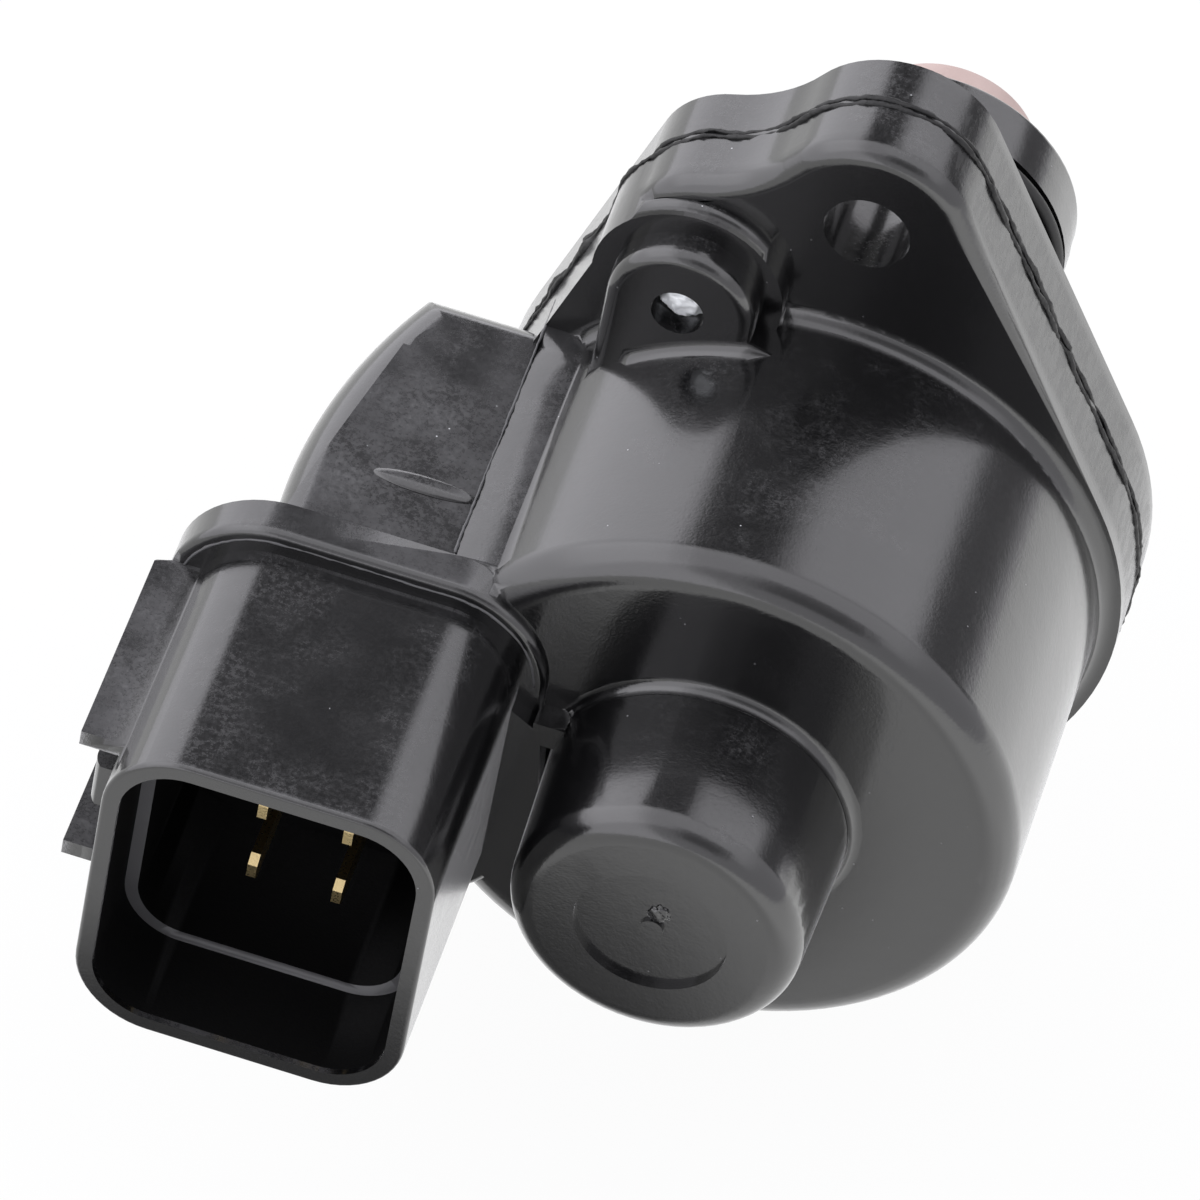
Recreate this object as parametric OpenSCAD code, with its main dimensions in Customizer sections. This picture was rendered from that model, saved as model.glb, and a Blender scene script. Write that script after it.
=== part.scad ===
// Idle air control valve: a stepper motor in a moulded body that slides a pintle.
// Origin: centre of the mounting face, on the valve axis. +Y is the nose with the pintle,
// -Y is the domed end and the mouth of the plug socket, +Z is the upper bolt ear, all in millimetres.

/* [Motor body] */
// Outer radius of the round motor body
body_r = 21; // [20.5:0.1:24]
// Mounting face to the front wall of the round body
body_len = 33.3; // [33:0.1:38]
// Wall of the round body
body_wall = 2.2; // [1.8:0.1:2.6]
// Rounding of the front shoulder of the body
shoulder_round = 2.4; // [1:0.1:3.5]
// Radius of the bearing boss where it leaves the body
boss_r = 10.2; // [9.6:0.1:11.5]
// Radius that the boss loses to its draft
boss_draft = 0.4; // [0:0.05:0.8]
// Length of the bearing boss in front of the body
boss_len = 12.4; // [11.5:0.1:15]
// Rounding of the rim of the boss
boss_round = 2; // [0.8:0.1:3]
// Fillet at the foot of the boss
boss_fillet = 0.8; // [0.2:0.1:1.5]
// Radius of the shallow recess in the end of the boss
recess_r = 5.15; // [4:0.1:6]
// Depth of the recess in the end of the boss
recess_depth = 0.5; // [0.2:0.1:0.9]
// Radius of the gate mark in the recess
gate_r = 0.8; // [0.4:0.1:1.2]

/* [Flange] */
// Thickness of both halves of the flange together
flange_t = 9; // [8:0.1:11]
// Thickness of the rear half, which belongs to the cover
cover_t = 4; // [3:0.1:5]
// Radius of the round middle of the flange
flange_r = 22.4; // [22:0.1:25]
// Fillet between the round body and the flange
flange_fillet = 1.2; // [0.4:0.1:1.4]
// Radius of a bolt ear
ear_r = 7.1; // [6:0.1:9]
// Distance between the two bolt holes
bolt_spacing = 59.8; // [58:0.2:66]
// Diameter of a bolt hole
bolt_hole_d = 5.8; // [4.5:0.1:7]

/* [Cover screw] */
// Place of the screw to the left of the valve axis
screw_left = 10.5; // [9:0.1:11]
// Place of the screw above the valve axis
screw_up = 21.9; // [21.5:0.1:23]
// Radius of the boss around the screw
screw_boss_r = 4.95; // [4:0.05:5.2]
// Height of the screw boss in front of the flange
screw_boss_h = 4; // [3:0.1:6]
// Step at the foot of the screw boss
screw_foot_step = 1.5; // [0.8:0.1:2]
// Radius of the flange lobe behind the screw boss
lobe_r = 6; // [5:0.1:7]
// Concave rounding between the lobe and the ear
lobe_dip = 10; // [6:0.5:16]
// Diameter of the screw
screw_d = 2.9; // [2.2:0.1:3.2]
// Diameter of the countersunk screw head
screw_head_d = 5.4; // [4.4:0.1:6]
// Depth of the screw tip in its hole
screw_sunk = 2; // [1:0.1:3]
// Diameter of the open end of the screw hole
screw_mouth_d = 3.55; // [3.3:0.05:4]

/* [Plug socket] */
// Middle of the socket to the left of the valve axis
socket_left = 24.2; // [23.8:0.1:27]
// Middle of the socket below the valve axis
socket_down = 1.5; // [0:0.1:3]
// Outer width of the shroud
socket_w = 22.3; // [20:0.1:22.6]
// Outer height of the shroud
socket_h = 25.7; // [24:0.1:28]
// Outer corner radius of the shroud
socket_corner = 5.5; // [4:0.1:7]
// Wall of the shroud at its mouth
socket_wall = 1.2; // [0.9:0.05:1.3]
// Mounting face to the mouth of the socket
mouth_y = 54; // [50:0.2:58]
// Step of the ledge inside the shroud
ledge_step = 0.9; // [0.5:0.05:1.2]
// Depth of the ledge behind the mouth
ledge_depth = 7.2; // [5:0.1:9]
// Depth of the socket
socket_depth = 19; // [16:0.2:21]
// Mounting face to the front of the collar
collar_y = 34; // [33.6:0.1:36]
// Thickness of the collar
collar_t = 2.9; // [2:0.1:4]
// Height of the collar over the shroud
collar_proud = 1.8; // [1:0.1:2.4]
// Height of the two guide fins over the shroud
fin_proud = 2.6; // [1.5:0.1:4]
// Thickness of a guide fin
fin_t = 1.2; // [0.8:0.1:2]
// Height of the upper fin above the middle of the socket
fin_up = 9.4; // [8:0.1:10]
// Distance between the two fins
fin_pitch = 10.6; // [8:0.1:12]
// Distance from the mouth to the ends of the fins
fin_short = 3.5; // [2:0.1:6]
// Height of the catch between the fins
catch_proud = 1.7; // [1:0.1:2.2]
// Length of the catch along the shroud
catch_len = 2.4; // [1.6:0.1:4]
// Width of the catch
catch_w = 3.6; // [2:0.1:5]

/* [Neck] */
// Slant of the outer side of the neck towards the flange
neck_taper = 4; // [2:0.1:6]
// Inset of the neck from the side of the collar
neck_inset = 5.8; // [4:0.1:7]
// Rounding of the long edges of the neck
neck_round = 3.2; // [1.5:0.1:4]
// Rounding of the back corner of the neck
neck_back_round = 3; // [1.5:0.1:4]
// Height of the joining rib over the neck
rib_proud = 1.8; // [1:0.1:2.4]
// Outer side of the joining rib to the left of the valve axis
rib_left = 19.3; // [18.5:0.1:20]
// Thickness of the web between the collar and the body
web_t = 3.6; // [3:0.1:5]

/* [Nose] */
// Radius of the land of the nose that enters the throttle body
nose_r = 10.4; // [10:0.1:11.5]
// Radius of the rim at the end of the nose
rim_r = 10.85; // [10.4:0.05:12]
// Mounting face to the end of the nose
nose_len = 27.4; // [26:0.1:30]
// Length of the rim
rim_len = 4.5; // [3:0.1:6]
// Length of the full-width rear band of the rim
rim_band = 2; // [1:0.1:3]
// Width of the groove for the seal ring
groove_w = 1.5; // [1.2:0.05:2]
// Bore of the nose
nose_bore_d = 14.8; // [14:0.1:15.4]
// Section of the seal ring
ring_section = 1; // [0.9:0.05:1.2]
// Stretch of the seal ring over the bottom of its groove
ring_gap = 0.02; // [0.01:0.01:0.05]

/* [Stepper motor] */
// Clearance between moulded pieces that are pushed together
push_gap = 0.05; // [0.02:0.01:0.1]
// Sheet thickness of the stator cups
cup_sheet = 0.9; // [0.6:0.05:1]
// Length of one stator
stator_len = 10.8; // [10:0.1:11.4]
// Number of claw poles on one cup
poles = 12; // [8:1:16]
// Radius of the rotor magnet
magnet_r = 9.3; // [8.6:0.1:9.6]
// Air gap between the magnet and the claws
air_gap = 0.3; // [0.2:0.05:0.5]
// Wall of the coil bobbins
bobbin_wall = 0.8; // [0.6:0.05:1]
// Depth of wire on a bobbin
wire_depth = 5; // [3.5:0.1:5.4]
// Radius of the hub that carries the magnet
hub_r = 6.5; // [6:0.1:7]
// Width of the terminal block of a bobbin
block_w = 15.5; // [14.5:0.1:17]
// Thickness of the terminal block of a bobbin
block_t = 2.4; // [2:0.1:3]

/* [Terminals] */
// Thickness of a terminal blade
blade_t = 0.64; // [0.5:0.02:0.8]
// Height of a terminal blade
blade_h = 2.3; // [1.5:0.1:2.8]
// Distance between two columns or rows of terminals
blade_pitch = 5.8; // [5:0.1:6]
// Shift of the terminals from the middle of the socket towards the body
blade_shift = 0.65; // [0:0.05:1]
// Depth of the blade tips behind the mouth
blade_tip_depth = 9.7; // [8:0.1:12]
// Length of the bevels at the blade tips
blade_bevel = 0.6; // [0.2:0.1:1]

/* [Bearings and shaft] */
// Outer diameter of the ball bearing
bearing_od = 16; // [15:0.5:16]
// Bore of the ball bearing
bearing_id = 8; // [7:0.5:9]
// Width of the ball bearing
bearing_w = 5; // [4:0.5:5]
// Diameter of a bearing ball
ball_d = 2; // [1.6:0.1:2.2]
// Number of bearing balls
balls = 9; // [6:1:10]
// Diameter of the front journal of the hub
journal_d = 6.4; // [6:0.1:7]
// Outer diameter of the front bush
bush_od = 10; // [9:0.1:11]
// Length of the front bush
bush_len = 5.5; // [4:0.1:7]
// Running clearance at the bush, the nut and the shaft guide
run_gap = 0.04; // [0.02:0.01:0.08]
// Diameter of the lead screw
lead_screw_d = 4; // [3.5:0.1:4.4]
// Clearance around the lead screw inside the hub
hub_bore_gap = 0.4; // [0.2:0.05:0.6]
// Outer diameter of the threaded nut in the hub
nut_od = 8.4; // [7:0.1:9.5]
// Length of the threaded nut in the hub
nut_len = 10; // [8:0.1:12]
// Depth of the flats that stop the lead screw from turning
flat_depth = 0.4; // [0.2:0.05:0.6]

/* [Pintle] */
// Diameter of the pintle head
pintle_d = 12.78; // [12:0.02:13.4]
// Length of the cylindrical part of the pintle head
pintle_len = 10; // [8:0.1:11]
// Reach of the pintle head past the rim of the nose
pintle_reach = 5.5; // [4.5:0.1:7]
// Length of the blunt cone of the pintle head
pintle_cone = 2.4; // [1:0.1:3]
// Diameter of the blunt end of the pintle head
pintle_tip_d = 7; // [5:0.1:9]
// Travel of the pintle out of the nose
travel_out = 4; // [2:0.5:4]
// Travel of the pintle into the nose
travel_in = 3; // [1:0.5:3]
// Length of the shaft guide
guide_len = 4; // [3:0.1:5]
// Length of the shaft seal
seal_len = 2.4; // [2:0.1:3]
// Thickness of the washer that keeps the seal
washer_t = 0.7; // [0.5:0.05:1]
// Wire diameter of the pintle spring
spring_wire = 0.7; // [0.5:0.05:0.9]
// Mean diameter of the pintle spring
spring_d = 9.6; // [9:0.1:10]
// Free turns of the pintle spring
spring_turns = 4; // [3:0.5:5]

/* [Hidden] */
$fn = 96;
eps = 0.01;
seam_y = -cover_t;
front_y = -body_len;
boss_y = front_y - boss_len;
flange_y = -flange_t;
cavity_r = body_r - body_wall;
cavity_y = front_y + body_wall;
ear_z = bolt_spacing / 2;
screw_at = [-screw_left, screw_up];
lobe_at = [-screw_left + 0.9, screw_up + 2.1];
screw_face_y = flange_y - screw_boss_h;
screw_tip_y = screw_face_y + screw_sunk;
screw_head_sunk = 0.3;
screw_head_h = (screw_head_d - screw_d) / 2;
screw_slot = 0.7;
screw_gap = 0.2;

socket_x = -socket_left;
socket_z = -socket_down;
socket_left_x = socket_x - socket_w / 2;
socket_right_x = socket_x + socket_w / 2;
socket_floor_y = -mouth_y + socket_depth;
collar_back_y = -collar_y + collar_t;
neck_top = socket_z + socket_h / 2;
neck_left_x = socket_left_x - collar_proud + neck_inset;
rib_top = neck_top + rib_proud;

stator_r = cavity_r - push_gap;
claw_r = magnet_r + air_gap;
coil_core_r = claw_r + cup_sheet + 0.1;
wire_r = coil_core_r + bobbin_wall;
coil_r = wire_r + wire_depth;
bobbin_r = coil_r + bobbin_wall;
stator_a_y = cavity_y + push_gap;
stator_b_y = stator_a_y + stator_len + push_gap;
stator_end_y = stator_b_y + stator_len;
coil_len = stator_len - 2 * cup_sheet - 2 * push_gap;
block_x = -body_r;

bearing_r = bearing_od / 2;
bearing_y = seam_y - bearing_w + 0.8;
bearing_end_y = bearing_y + bearing_w;
ring_wall = (bearing_od - bearing_id) / 2 * 0.33;
ball_circle_r = (bearing_od + bearing_id) / 4;
spigot_end_y = stator_end_y + push_gap;
bearing_boss_r = bearing_r + 2;
hub_y = cavity_y + 0.9;
hub_end_y = stator_end_y - 0.6;
journal_r = journal_d / 2;
bush_y = boss_y + 2.5;
bush_end_y = bush_y + bush_len;
hub_front_y = bush_y + 2.2;
hub_rear_y = bearing_end_y + 0.2;
screw_r = lead_screw_d / 2;
hub_bore_r = screw_r + hub_bore_gap;
nut_y = (hub_y + hub_end_y - nut_len) / 2;

nose_bore_r = nose_bore_d / 2;
rim_y = nose_len - rim_len;
groove_y = rim_y - groove_w;
groove_r = nose_r - ring_section * 0.5;
guide_y = bearing_end_y + 2.2;
guide_end_y = guide_y + guide_len;
flats_y = guide_y - travel_out - 0.4;
flats_end_y = guide_end_y + travel_in + 0.4;
seal_y = flats_end_y + travel_out + 0.4;
washer_y = seal_y + seal_len;
spring_y = washer_y + washer_t;
pintle_end_y = nose_len + pintle_reach;
pintle_y = pintle_end_y - pintle_len;
thread_y = nut_y - travel_out - 4;
thread_end_y = flats_y - 0.4;
shaft_end_y = pintle_y + 5;

blade_x = [socket_x + blade_shift - blade_pitch / 2, socket_x + blade_shift + blade_pitch / 2];
blade_z = [socket_z + blade_pitch, socket_z, socket_z - blade_pitch];
blade_tip_y = -mouth_y + blade_tip_depth;
block_z = socket_z;
block_a_y = stator_a_y + cup_sheet + push_gap;
block_b_y = stator_b_y + cup_sheet + push_gap;
leg_end_x = -bobbin_r - 0.6;

// A solid of revolution about the valve axis, from a profile of radius and y
module turned() {
    rotate([-90, 0, 0])
        rotate_extrude()
            children();
}

// A solid of even section along the valve axis, from an outline of x and z
module slab(y0, y1) {
    translate([0, y1, 0])
        rotate([90, 0, 0])
            linear_extrude(y1 - y0)
                children();
}

// A box from corner to corner
module block(low, high) {
    translate(low)
        cube(high - low);
}

// Profile of a band of the turned section
module band(r0, r1, y0, y1) {
    translate([r0, y0])
        square([r1 - r0, y1 - y0]);
}

// Profile of a solid disc whose front rim is rounded
module rounded_disc(r, y0, y1, round_r) {
    band(0, r - round_r, y0, y1);
    band(0, r, y0 + round_r, y1);
    translate([r - round_r, y0 + round_r])
        circle(round_r);
}

// Profile of a fillet in the corner at radius r and height y, growing outwards and to -Y
module cove(r, y, size) {
    difference() {
        band(r - eps, r + size, y - size, y + eps);
        translate([r + size, y - size])
            circle(size);
    }
}

// Outline of two discs and the straight tangents between them
module tangent_pair(c1, r1, c2, r2) {
    span = norm(c2 - c1);
    base = atan2(c2[1] - c1[1], c2[0] - c1[0]);
    swing = acos((r1 - r2) / span);
    up = [cos(base + swing), sin(base + swing)];
    down = [cos(base - swing), sin(base - swing)];
    translate(c1)
        circle(r1);
    translate(c2)
        circle(r2);
    polygon([c1 + r1 * up, c2 + r2 * up, c2 + r2 * down, c1 + r1 * down]);
}

// Centre of the circle of radius r that touches two discs from outside, on their left
function outer_touch(c1, r1, c2, r2, r) =
    let (
        span = norm(c2 - c1),
        along = (c2 - c1) / span,
        left = [-along[1], along[0]],
        a = (pow(r1 + r, 2) - pow(r2 + r, 2) + span * span) / (2 * span)
    )
    c1 + a * along + sqrt(pow(r1 + r, 2) - a * a) * left;

// Outline of a rectangle with round corners, about its middle
module rounded_rect(w, h, r) {
    square([w - 2 * r, h], center = true);
    square([w, h - 2 * r], center = true);
    for (sx = [-1, 1], sz = [-1, 1])
        translate([sx * (w / 2 - r), sz * (h / 2 - r)])
            circle(r);
}

// Outline of the flange, grown by a margin
module flange_outline(grow = 0) {
    ear = [0, ear_z];
    dip = outer_touch(lobe_at, lobe_r + grow, ear, ear_r + grow, lobe_dip);
    for (side = [-1, 1])
        tangent_pair([0, 0], flange_r + grow, side * ear, ear_r + grow);
    tangent_pair([0, 0], flange_r + grow, lobe_at, lobe_r + grow);
    difference() {
        polygon([[0, 0], lobe_at, dip, ear]);
        translate(dip)
            circle(lobe_dip);
    }
}

// The two bolt holes, through both halves of the flange
module bolt_holes() {
    for (side = [-1, 1])
        translate([0, eps, side * ear_z])
            rotate([90, 0, 0])
                cylinder(d = bolt_hole_d, h = flange_t + 2 * eps);
}

// Outline of the neck from above: slanted outer side and a round back corner
module neck_plan(inset = 0) {
    back = flange_y - 0.6 - inset;
    left_front = neck_left_x + inset;
    left_back = left_front + neck_taper;
    corner = [left_back + neck_back_round, back - neck_back_round];
    difference() {
        polygon([
            [left_front, collar_back_y],
            [left_back + neck_taper * 0.02, back],
            [0, back],
            [0, collar_back_y]
        ]);
        difference() {
            translate([left_back - neck_back_round, back - neck_back_round])
                square([2 * neck_back_round, 2 * neck_back_round]);
            translate(corner)
                circle(neck_back_round);
            translate([corner[0], corner[1] - 3 * neck_back_round])
                square([4 * neck_back_round, 4 * neck_back_round]);
            translate([corner[0] - 3 * neck_back_round, corner[1] - 3 * neck_back_round])
                square([6 * neck_back_round, 3 * neck_back_round]);
        }
    }
}

// Outline of the socket shroud in x and z, grown by a margin
module shroud_outline(grow) {
    translate([socket_x, socket_z])
        rounded_rect(socket_w + 2 * grow, socket_h + 2 * grow, socket_corner + grow);
}

module round_body() {
    turned() {
        rounded_disc(body_r, front_y, seam_y, shoulder_round);
        cove(body_r, flange_y, flange_fillet);
    }
}

module bearing_boss() {
    tip_r = boss_r - boss_draft;
    turned()
        difference() {
            union() {
                polygon([
                    [0, boss_y + boss_round],
                    [tip_r, boss_y + boss_round],
                    [boss_r, front_y + eps],
                    [0, front_y + eps]
                ]);
                rounded_disc(tip_r, boss_y, boss_y + boss_round + eps, boss_round);
                cove(boss_r, front_y, boss_fillet);
            }
            difference() {
                band(0, recess_r, boss_y - eps, boss_y + recess_depth);
                band(0, gate_r, boss_y + recess_depth / 2, boss_y + recess_depth + eps);
            }
        }
}

module screw_boss() {
    slab(screw_face_y, seam_y)
        difference() {
            union() {
                translate(screw_at)
                    circle(screw_boss_r);
                polygon([
                    screw_at + [-screw_boss_r, 0],
                    screw_at + [screw_boss_r, 0],
                    [screw_at[0] + screw_boss_r, 0],
                    [screw_at[0] - screw_boss_r, 0]
                ]);
            }
            circle(body_r - body_wall / 2);
        }
    slab(flange_y - screw_boss_h * 0.4, seam_y)
        difference() {
            translate(screw_at)
                circle(screw_boss_r + screw_foot_step);
            circle(body_r - body_wall / 2);
        }
}

module socket_shell() {
    slab(-mouth_y, collar_back_y)
        shroud_outline(0);
    slab(-collar_y, collar_back_y)
        shroud_outline(collar_proud);
    fin_y = -mouth_y + fin_short;
    for (row = [0, 1]) {
        top = socket_z + fin_up - row * fin_pitch;
        block([socket_left_x - fin_proud, fin_y, top - fin_t], [socket_x, -collar_y + eps, top]);
    }
    catch_z = socket_z + fin_up - fin_pitch / 2 - fin_t / 2;
    translate([socket_left_x, fin_y + catch_len, catch_z])
        intersection() {
            cylinder(r = catch_proud, h = catch_w, center = true);
            cube([4 * catch_proud, catch_len, catch_w], center = true);
        }
}

module neck() {
    intersection() {
        translate([0, 0, socket_z - socket_h])
            linear_extrude(2 * socket_h)
                neck_plan();
        slab(collar_back_y, flange_y)
            neck_section();
    }
    slab(collar_back_y, flange_y + eps)
        difference() {
            translate([-rib_left, 0])
                square([rib_left, rib_top]);
            circle(cavity_r + body_wall / 2);
        }
}

// Section of the neck in x and z: open to the round body, round on its outer edges
module neck_section() {
    w = -neck_left_x;
    difference() {
        translate([-w / 2 - 0.5, socket_z])
            rounded_rect(w + 1, socket_h, neck_round);
        circle(cavity_r + body_wall / 2);
    }
}

// Web between the collar and the front wall, with its small lug
module web() {
    web_y = -collar_y - 1.2;
    lug = 1.9;
    lug_x = socket_right_x + collar_proud;
    slab(web_y, web_y + web_t)
        polygon([
            [socket_right_x - eps, socket_z + 6.4],
            [lug_x + 0.4, socket_z + 5],
            [lug_x + 1.6, socket_z - 6],
            [lug_x + 1, socket_z - 11.4],
            [socket_right_x - eps, socket_z - 9.6]
        ]);
    block([lug_x - 0.2, web_y, socket_z + 4], [lug_x + lug, front_y + eps, socket_z + 4 + lug]);
}

// Room for a terminal block that reaches from a bobbin into the wall
module block_room(y0, grow) {
    difference() {
        block(
            [block_x - grow, y0 - grow, block_z - block_w / 2 - grow],
            [0, y0 + block_t + grow, block_z + block_w / 2 + grow]
        );
        rotate([90, 0, 0])
            cylinder(r = bobbin_r - bobbin_wall / 2, h = 3 * body_len, center = true);
    }
}

// The inside of the motor and of the bearing boss
module motor_cavity() {
    turned() {
        band(0, cavity_r, cavity_y, seam_y + eps);
        band(0, bearing_r, bush_end_y, cavity_y + eps);
        band(0, bush_od / 2, bush_y, bush_end_y + eps);
        band(0, journal_r + 0.6, bush_y - 0.4, bush_y + eps);
    }
}

module socket_cavity() {
    ledge_y = -mouth_y + ledge_depth;
    slab(-mouth_y - eps, ledge_y + eps)
        shroud_outline(-socket_wall);
    slab(ledge_y, socket_floor_y)
        shroud_outline(-socket_wall - ledge_step);
}

module motor_housing() {
    color("#1b1b1d")
        difference() {
            union() {
                round_body();
                bearing_boss();
                slab(flange_y, seam_y)
                    flange_outline();
                screw_boss();
                socket_shell();
                neck();
                web();
            }
            motor_cavity();
            socket_cavity();
            bolt_holes();
            translate([screw_at[0], 0, screw_at[1]])
                rotate([90, 0, 0]) {
                    cylinder(d = screw_d, h = body_len);
                    translate([0, 0, -screw_tip_y])
                        cylinder(d = screw_mouth_d, h = body_len);
                }
            block_room(block_a_y, push_gap);
            block_room(block_b_y, push_gap);
            for (n = [0:5])
                terminal_shape(n, push_gap / 2);
        }
}

module valve_cover() {
    color("#1d1d1f")
        difference() {
            union() {
                slab(seam_y, 0)
                    flange_outline();
                turned() {
                    band(0, cavity_r - push_gap, spigot_end_y, seam_y + eps);
                    band(0, nose_r, 0 - eps, rim_y + eps);
                    rounded_rim();
                }
            }
            turned() {
                band(bearing_boss_r, cavity_r - body_wall, spigot_end_y - eps, seam_y);
                band(0, bearing_r, spigot_end_y - 1, bearing_end_y);
                band(0, nose_bore_r, bearing_end_y - eps, nose_len + eps);
                band(groove_r, nose_r + 1, groove_y, rim_y);
            }
            bolt_holes();
            screw_hole();
        }
}

// Profile of the rim of the nose with both edges eased and a fine step
module rounded_rim() {
    step_y = rim_y + rim_band;
    band(0, rim_r, rim_y, step_y);
    mirror([0, 1])
        translate([0, -nose_len])
            rounded_disc(rim_r - 0.12, 0, nose_len - step_y + eps, 0.5);
}

// Places its children at the head of the cover screw, with the screw along +Z
module at_screw_head() {
    translate([screw_at[0], -screw_head_sunk, screw_at[1]])
        rotate([90, 0, 0])
            children();
}

// Countersunk hole for the cover screw, open to the mounting face
module screw_hole() {
    at_screw_head() {
        cylinder(d = screw_d + screw_gap, h = cover_t);
        cylinder(d1 = screw_head_d + screw_gap, d2 = screw_d + screw_gap, h = screw_head_h);
        translate([0, 0, -2 * screw_head_sunk])
            cylinder(d = screw_head_d + screw_gap, h = 2 * screw_head_sunk + eps);
    }
}

module cover_screw() {
    color("#b9bcc0")
        at_screw_head()
            difference() {
                union() {
                    cylinder(d1 = screw_head_d, d2 = screw_d, h = screw_head_h);
                    cylinder(d = screw_d, h = -screw_tip_y - screw_head_sunk);
                }
                for (turn = [0, 90])
                    rotate([0, 0, turn])
                        cube([screw_d, screw_slot, screw_head_h * 1.2], center = true);
            }
}

module seal_ring() {
    ring_r = groove_r + ring_gap + ring_section / 2;
    color("#141414")
        turned()
            translate([ring_r, groove_y + groove_w / 2])
                circle(d = ring_section, $fn = 32);
}

// Teeth of one cup: root at y = 0, bent to +Y, on a ring of sheet
module claw_teeth() {
    pitch = 360 / poles;
    half_pitch = PI * claw_r / poles / 2;
    root = half_pitch * 0.86;
    tip = half_pitch * 0.45;
    reach = stator_len - 2 * cup_sheet - 0.4;
    intersection() {
        turned()
            band(claw_r, claw_r + cup_sheet, 0, cup_sheet + reach);
        for (i = [0:poles - 1])
            rotate([0, i * pitch, 0])
                linear_extrude(claw_r + 2 * cup_sheet)
                    polygon([
                        [-root, 0],
                        [root, 0],
                        [root, cup_sheet],
                        [tip, cup_sheet + reach],
                        [-tip, cup_sheet + reach],
                        [-root, cup_sheet]
                    ]);
    }
}

// Notch in a cup for the terminal block
module block_notch() {
    block(
        [-body_r, cup_sheet, block_z - block_w / 2 - push_gap],
        [-stator_r * 0.6, cup_sheet + block_t + 2 * push_gap, block_z + block_w / 2 + push_gap]
    );
}

// Cup whose shell covers the coil, with its disc at y = 0
module outer_cup() {
    difference() {
        turned() {
            band(claw_r, stator_r, 0, cup_sheet);
            band(stator_r - cup_sheet, stator_r, 0, stator_len - cup_sheet);
        }
        block_notch();
    }
    claw_teeth();
}

// Flat cup that closes the stator, with its disc at the far end and claws back into the coil
module inner_cup() {
    translate([0, stator_len, 0])
        rotate([0, 180 / poles, 0])
            mirror([0, 1, 0]) {
                turned()
                    band(claw_r, stator_r, 0, cup_sheet);
                claw_teeth();
            }
}

module stator_cup_front_outer() {
    color("#8f9296")
        translate([0, stator_a_y, 0])
            outer_cup();
}

module stator_cup_front_inner() {
    color("#8a8d91")
        translate([0, stator_a_y, 0])
            inner_cup();
}

module stator_cup_rear_inner() {
    color("#8a8d91")
        translate([0, stator_b_y, 0])
            inner_cup();
}

module stator_cup_rear_outer() {
    color("#8f9296")
        translate([0, stator_b_y, 0])
            outer_cup();
}

// Spool for the wire, with the block that holds the ends of three terminals
module bobbin(first, column) {
    difference() {
        union() {
            turned() {
                band(coil_core_r, wire_r, 0, coil_len);
                band(coil_core_r, bobbin_r, 0, bobbin_wall);
                band(coil_core_r, bobbin_r, coil_len - bobbin_wall, coil_len);
            }
            translate([0, -first, 0])
                block_room(first, 0);
        }
        translate([0, -first, 0])
            for (row = [0:2])
                terminal_shape(column * 3 + row, 0);
    }
}

module coil_bobbin_front() {
    color("#d9d4c4")
        translate([0, block_a_y, 0])
            bobbin(block_a_y, 1);
}

module coil_bobbin_rear() {
    color("#d9d4c4")
        translate([0, block_b_y, 0])
            bobbin(block_b_y, 0);
}

module winding(first) {
    color("#a8562a")
        turned()
            band(wire_r, coil_r - 0.2, first + bobbin_wall, first + coil_len - bobbin_wall);
}

module winding_front() {
    winding(block_a_y);
}

module winding_rear() {
    winding(block_b_y);
}

// Terminal n of 6: 0 to 2 in the outer column go to the rear coil, 3 to 5 to the front coil
module terminal_shape(n, grow) {
    column = floor(n / 3);
    x = blade_x[column];
    turn_y = (column == 0 ? block_b_y : block_a_y) + block_t / 2;
    half_t = blade_t / 2 + grow;
    half_h = blade_h / 2 + grow;
    translate([0, 0, blade_z[n % 3]]) {
        translate([x - half_t, 0, 0])
            rotate([90, 0, 90])
                linear_extrude(2 * half_t)
                    polygon([
                        [blade_tip_y, blade_bevel - half_h],
                        [blade_tip_y + blade_bevel, -half_h],
                        [turn_y + half_t, -half_h],
                        [turn_y + half_t, half_h],
                        [blade_tip_y + blade_bevel, half_h],
                        [blade_tip_y, half_h - blade_bevel]
                    ]);
        block([x - half_t, turn_y - half_t, -half_h], [leg_end_x + grow, turn_y + half_t, half_h]);
    }
}

module terminal(n) {
    color("#c9a55c")
        terminal_shape(n, 0);
}

module terminal_1() {
    terminal(0);
}

module terminal_2() {
    terminal(1);
}

module terminal_3() {
    terminal(2);
}

module terminal_4() {
    terminal(3);
}

module terminal_5() {
    terminal(4);
}

module terminal_6() {
    terminal(5);
}

module front_bush() {
    color("#9c7a4a")
        turned()
            band(journal_r + run_gap, bush_od / 2, bush_y, bush_end_y);
}

// One race of the ball bearing with its groove
module race(r0, r1) {
    color("#c3c6ca")
        turned()
            difference() {
                band(r0, r1, bearing_y, bearing_end_y);
                translate([ball_circle_r, bearing_y + bearing_w / 2])
                    circle(d = ball_d + run_gap);
            }
}

module bearing_outer_ring() {
    race(bearing_r - ring_wall, bearing_r);
}

module bearing_inner_ring() {
    race(bearing_id / 2, bearing_id / 2 + ring_wall);
}

module bearing_balls() {
    color("#d4d6d9")
        for (i = [0:balls - 1])
            rotate([0, i * 360 / balls, 0])
                translate([ball_circle_r, bearing_y + bearing_w / 2, 0])
                    sphere(d = ball_d, $fn = 32);
}

module rotor_magnet() {
    color("#3a3a3c")
        turned()
            band(hub_r, magnet_r, hub_y, hub_end_y);
}

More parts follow.
